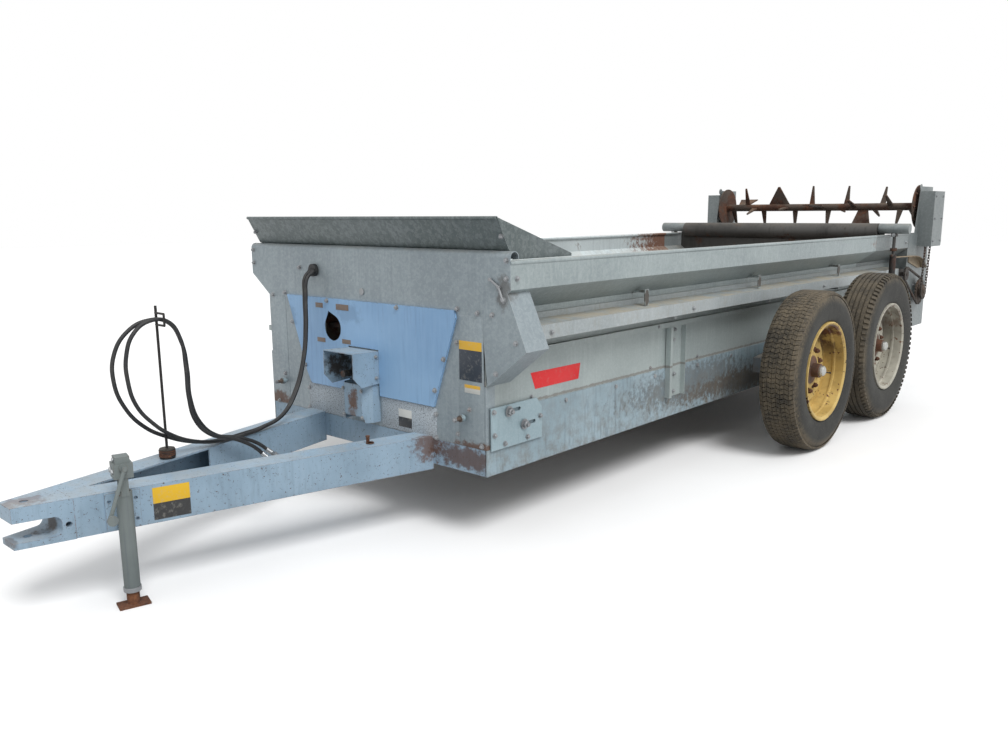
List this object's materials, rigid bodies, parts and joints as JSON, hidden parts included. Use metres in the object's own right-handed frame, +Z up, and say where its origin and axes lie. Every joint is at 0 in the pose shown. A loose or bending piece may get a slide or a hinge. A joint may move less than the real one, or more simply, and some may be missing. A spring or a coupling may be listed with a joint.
{
  "type": "manure spreader",
  "caption": "Towed tandem-axle box spreader with an apron conveyor, lifting endgate, two rear beaters, A-frame tongue and swivel jack.",
  "frame": {"origin": "on the ground, midway between the hitch tip and the rear edge of the beater sides, on the centre line", "axes": "+X to the machine's left side, +Y to its rear along its length, +Z up"},
  "size_m": [2.83, 7.82, 1.7901],
  "materials": {
    "galv_sheet": "hot-dip galvanised sheet with spangle",
    "blue_panel": "faded blue paint",
    "pale_paint": "faded pale blue paint, chipped",
    "rusty_steel": "bare rusty steel",
    "dark_steel": "dark dirty steel",
    "casting": "cast, rusty",
    "bright_steel": "zinc plated steel",
    "hose_rubber": "black hydraulic hose",
    "tyre_rubber": "worn tyre with dried mud",
    "yellow_rim": "yellow paint with rust",
    "white_rim": "grey-white paint with rust",
    "deck_wood": "worn boards",
    "tan_guard": "dirty tan coating",
    "shield_sheet": "galvanised sheet with a yellowish cast"
  },
  "bodies": {
    "chassis": {"tongue_left_leg": "pale_paint", "tongue_right_leg": "pale_paint", "hitch_clevis": "pale_paint", "jack_mount": "pale_paint", "hose_holder": "rusty_steel", "hose_a": "hose_rubber", "hose_b": "hose_rubber", "hose_couplers": "bright_steel", "hose_grommet": "hose_rubber", "front_panel": "galv_sheet", "front_guard": "galv_sheet", "centre_panel": "blue_panel", "pto_hood": "pale_paint", "input_gearbox": "casting", "inner_front_wall": "rusty_steel", "front_sill": "pale_paint", "corner_guard": "galv_sheet", "take_ups": "bright_steel", "left_upper_wall": "galv_sheet", "right_upper_wall": "galv_sheet", "left_lower_wall": "galv_sheet", "right_lower_wall": "galv_sheet", "drive_shield": "shield_sheet", "floor_deck": "deck_wood", "chassis_rails": "pale_paint", "main_axle": "pale_paint", "tandem_beams": "dark_steel", "apron_chain": "rusty_steel", "apron_shafts": "dark_steel", "gate_cylinders": "dark_steel", "rear_left_side": "galv_sheet", "rear_right_side": "galv_sheet", "beater_drive": "casting", "beater_chains": "rusty_steel", "chain_guard": "tan_guard"},
    "input_shaft": {"pto_shaft": "dark_steel"},
    "line_shaft": {"drive_shaft": "rusty_steel"},
    "output_shaft": {"drive_wheel": "rusty_steel"},
    "lower_rotor": {"lower_beater": "rusty_steel"},
    "upper_rotor": {"upper_beater": "rusty_steel"},
    "gate": {"endgate": "dark_steel"},
    "jack_tube": {"jack_body": "bright_steel", "jack_crank": "rusty_steel"},
    "jack_foot": {"jack_leg": "rusty_steel"},
    "wheel_front_left": {"tyre_front_left": "tyre_rubber", "rim_front_left": "yellow_rim"},
    "wheel_front_right": {"tyre_front_right": "tyre_rubber", "rim_front_right": "yellow_rim"},
    "wheel_rear_left": {"tyre_rear_left": "tyre_rubber", "rim_rear_left": "white_rim"},
    "wheel_rear_right": {"tyre_rear_right": "tyre_rubber", "rim_rear_right": "white_rim"}
  },
  "joints": [
    {"name": "wheel_front_left_spin", "type": "hinge", "parent": "chassis", "child": "wheel_front_left", "pos_m": [1.29, 0.53, 0.522], "axis": [1, 0, 0], "continuous": true},
    {"name": "wheel_rear_left_spin", "type": "hinge", "parent": "chassis", "child": "wheel_rear_left", "pos_m": [1.29, 1.719, 0.545], "axis": [1, 0, 0], "continuous": true},
    {"name": "wheel_front_right_spin", "type": "hinge", "parent": "chassis", "child": "wheel_front_right", "pos_m": [-1.29, 0.53, 0.522], "axis": [1, 0, 0], "continuous": true},
    {"name": "wheel_rear_right_spin", "type": "hinge", "parent": "chassis", "child": "wheel_rear_right", "pos_m": [-1.29, 1.719, 0.545], "axis": [1, 0, 0], "continuous": true},
    {"name": "lower_beater_spin", "type": "hinge", "parent": "chassis", "child": "lower_rotor", "pos_m": [0, 3.59, 0.81], "axis": [1, 0, 0], "continuous": true},
    {"name": "upper_beater_spin", "type": "hinge", "parent": "chassis", "child": "upper_rotor", "pos_m": [0, 3.66, 1.58], "axis": [1, 0, 0], "continuous": true},
    {"name": "output_shaft_spin", "type": "hinge", "parent": "chassis", "child": "output_shaft", "pos_m": [1.04, 3.19, 0.985], "axis": [1, 0, 0], "continuous": true},
    {"name": "line_shaft_spin", "type": "hinge", "parent": "chassis", "child": "line_shaft", "pos_m": [0.93, 0.56, 0.985], "axis": [0, 1, 0], "continuous": true},
    {"name": "input_shaft_spin", "type": "hinge", "parent": "chassis", "child": "input_shaft", "pos_m": [0, -2.14, 0.745], "axis": [0, 1, 0], "continuous": true},
    {"name": "gate_lift", "type": "slide", "parent": "chassis", "child": "gate", "axis": [0, 0, 1], "range_m": [0, 0.5]},
    {"name": "jack_swivel", "type": "hinge", "parent": "chassis", "child": "jack_tube", "pos_m": [0.15289, -3.53, 0.3875], "axis": [0.9702, -0.2423, 0], "range_deg": [0, 90]},
    {"name": "jack_extension", "type": "slide", "parent": "jack_tube", "child": "jack_foot", "axis": [0, 0, -1], "range_m": [-0.04, 0.2]}
  ],
  "couplings": [
    {"joint": "upper_beater_spin", "follows": "lower_beater_spin", "ratio": 1},
    {"joint": "output_shaft_spin", "follows": "lower_beater_spin", "ratio": 1.9667},
    {"joint": "line_shaft_spin", "follows": "lower_beater_spin", "ratio": -1.9667},
    {"joint": "input_shaft_spin", "follows": "lower_beater_spin", "ratio": 1.9667}
  ]
}
